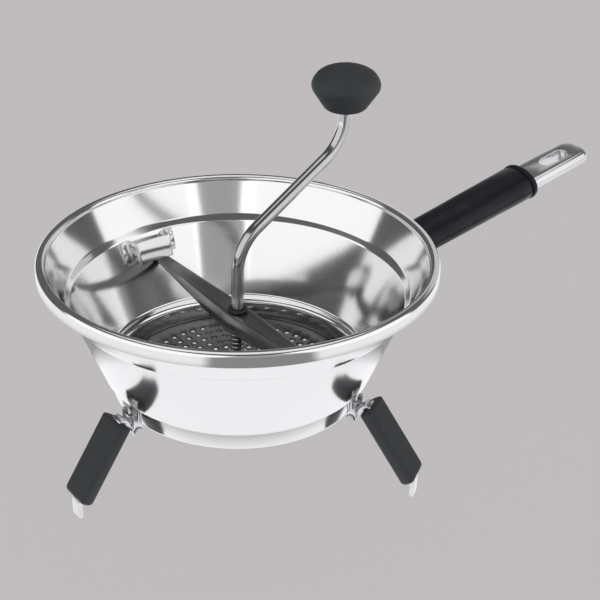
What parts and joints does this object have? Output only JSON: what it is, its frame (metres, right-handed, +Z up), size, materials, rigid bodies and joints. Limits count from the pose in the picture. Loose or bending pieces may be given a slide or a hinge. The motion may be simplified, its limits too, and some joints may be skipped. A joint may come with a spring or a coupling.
{
  "type": "food mill",
  "caption": "Hand-cranked steel food mill: flared bowl over a sieve disc, crossbar with crank, knob and scraper blade, long black-gripped handle and folding black legs.",
  "frame": {"origin": "on the bowl axis, in the plane of the outlet's lower edge", "axes": "+Z up along the crank shaft, +X from the bowl axis along the handle"},
  "size_m": [0.4229, 0.244, 0.2467],
  "materials": {
    "polished_steel": "mirror polished",
    "satin_steel": "satin",
    "spring_steel": "bright drawn wire",
    "black_plastic": "satin moulded",
    "white_nylon": "moulded"
  },
  "bodies": {
    "root": {"bowl_shell": "polished_steel", "sieve_disc": "satin_steel", "crossbar": "satin_steel", "crossbar_bush": "black_plastic", "keeper_far": "satin_steel", "keeper_near": "satin_steel", "keeper_rivets": "satin_steel", "handle_core": "satin_steel", "handle_grip": "black_plastic", "grip_end_ring": "black_plastic", "handle_bracket": "satin_steel", "handle_rivets": "satin_steel", "leg_bracket_left": "satin_steel", "leg_bracket_right": "satin_steel", "leg_bracket_back": "satin_steel", "leg_pin_left": "satin_steel", "leg_pin_right": "satin_steel", "leg_pin_back": "satin_steel"},
    "crank": {"crank_rod": "satin_steel", "drive_hub": "satin_steel", "scraper_blade": "satin_steel", "hub_pin": "satin_steel", "spring_washer_upper": "satin_steel", "spring_washer_lower": "satin_steel", "pressure_spring": "spring_steel", "knob_push_nut": "satin_steel", "knob_washer": "satin_steel"},
    "knob": {"crank_knob": "black_plastic", "knob_bush": "white_nylon"},
    "leg_left": {"leg_strut_left": "satin_steel", "leg_sleeve_left": "black_plastic"},
    "leg_right": {"leg_strut_right": "satin_steel", "leg_sleeve_right": "black_plastic"},
    "leg_back": {"leg_strut_back": "satin_steel", "leg_sleeve_back": "black_plastic"}
  },
  "joints": [
    {"name": "crank_turn", "type": "hinge", "parent": "root", "child": "crank", "pos_m": [0, 0, 0.05], "axis": [0, 0, 1], "continuous": true},
    {"name": "knob_spin", "type": "hinge", "parent": "crank", "child": "knob", "pos_m": [0.079, 0, 0.175], "axis": [0, 0, 1], "continuous": true},
    {"name": "leg_left_fold", "type": "hinge", "parent": "root", "child": "leg_left", "pos_m": [-0.07895, -0.00276, -0.0065], "axis": [0.0349, -0.9994, 0], "range_deg": [0, 115]},
    {"name": "leg_right_fold", "type": "hinge", "parent": "root", "child": "leg_right", "pos_m": [0.04186, -0.067, -0.0065], "axis": [0.848, 0.5299, 0], "range_deg": [0, 115]},
    {"name": "leg_back_fold", "type": "hinge", "parent": "root", "child": "leg_back", "pos_m": [0.03709, 0.06975, -0.0065], "axis": [-0.8829, 0.4695, 0], "range_deg": [0, 115]}
  ]
}
